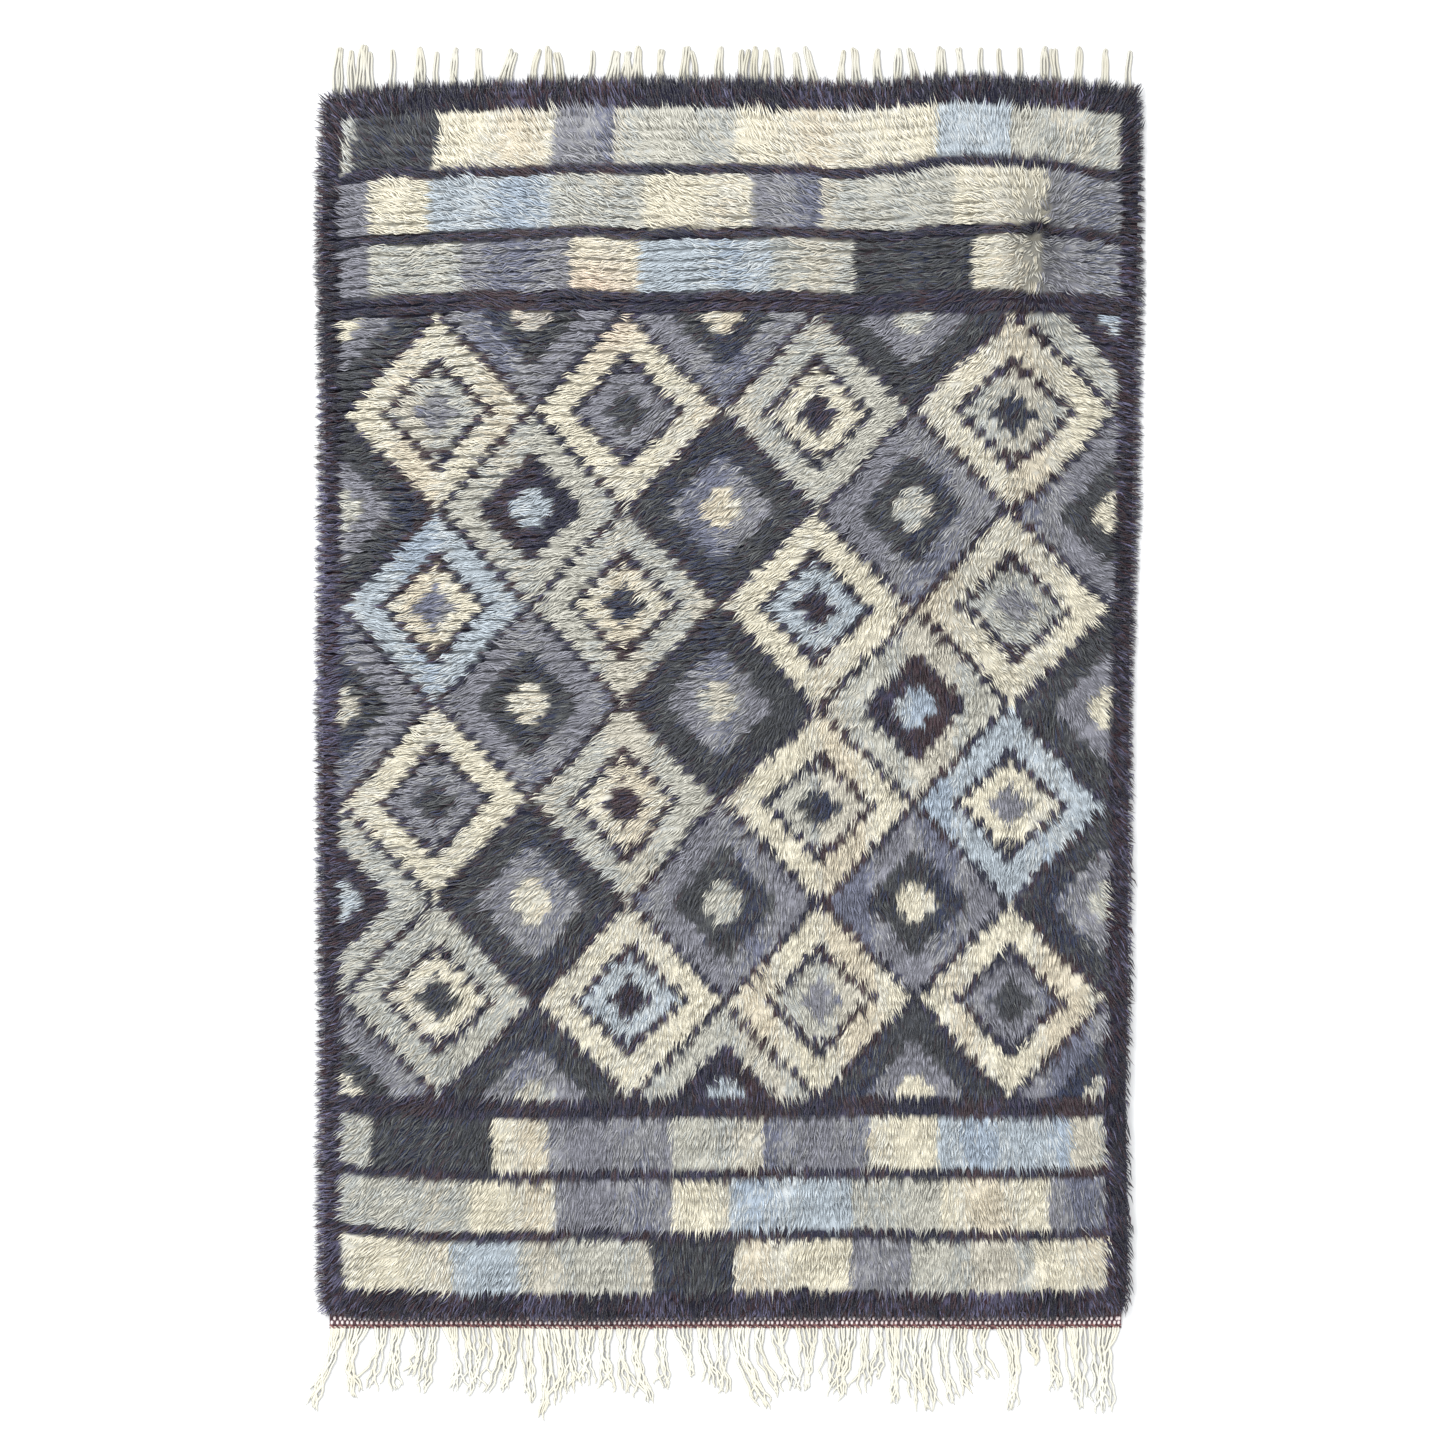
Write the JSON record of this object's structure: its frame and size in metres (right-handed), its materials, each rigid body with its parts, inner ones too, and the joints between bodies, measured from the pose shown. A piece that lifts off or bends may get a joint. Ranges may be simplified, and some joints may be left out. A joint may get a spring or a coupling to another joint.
{
  "type": "rya rug",
  "caption": "Long-piled knotted wool rug laid flat, with a woven ground, a twined cord at one end, cut warp fringe there and uncut warp loops at the other.",
  "frame": {"origin": "centre of the rug in plan, on the floor that it lies on", "axes": "+Y along the warp towards the end with uncut loops, +X to the right seen from above with +Y up, +Z up from the floor"},
  "size_m": [1.2212, 2.0038, 0.0241],
  "materials": {
    "wool_pile": "matte long wool pile in creams, greys, blues and navy",
    "ground_wool": "matte dark wool weft over white warp",
    "twined_wool": "matte maroon two-ply wool",
    "cotton_warp": "matte unbleached twisted cotton",
    "cotton_loops": "matte unbleached twisted cotton"
  },
  "bodies": {
    "root": {"ground_weave": "ground_wool", "pile": "wool_pile", "twined_cord": "twined_wool", "lower_fringe": "cotton_warp", "upper_fringe": "cotton_loops"}
  },
  "joints": []
}
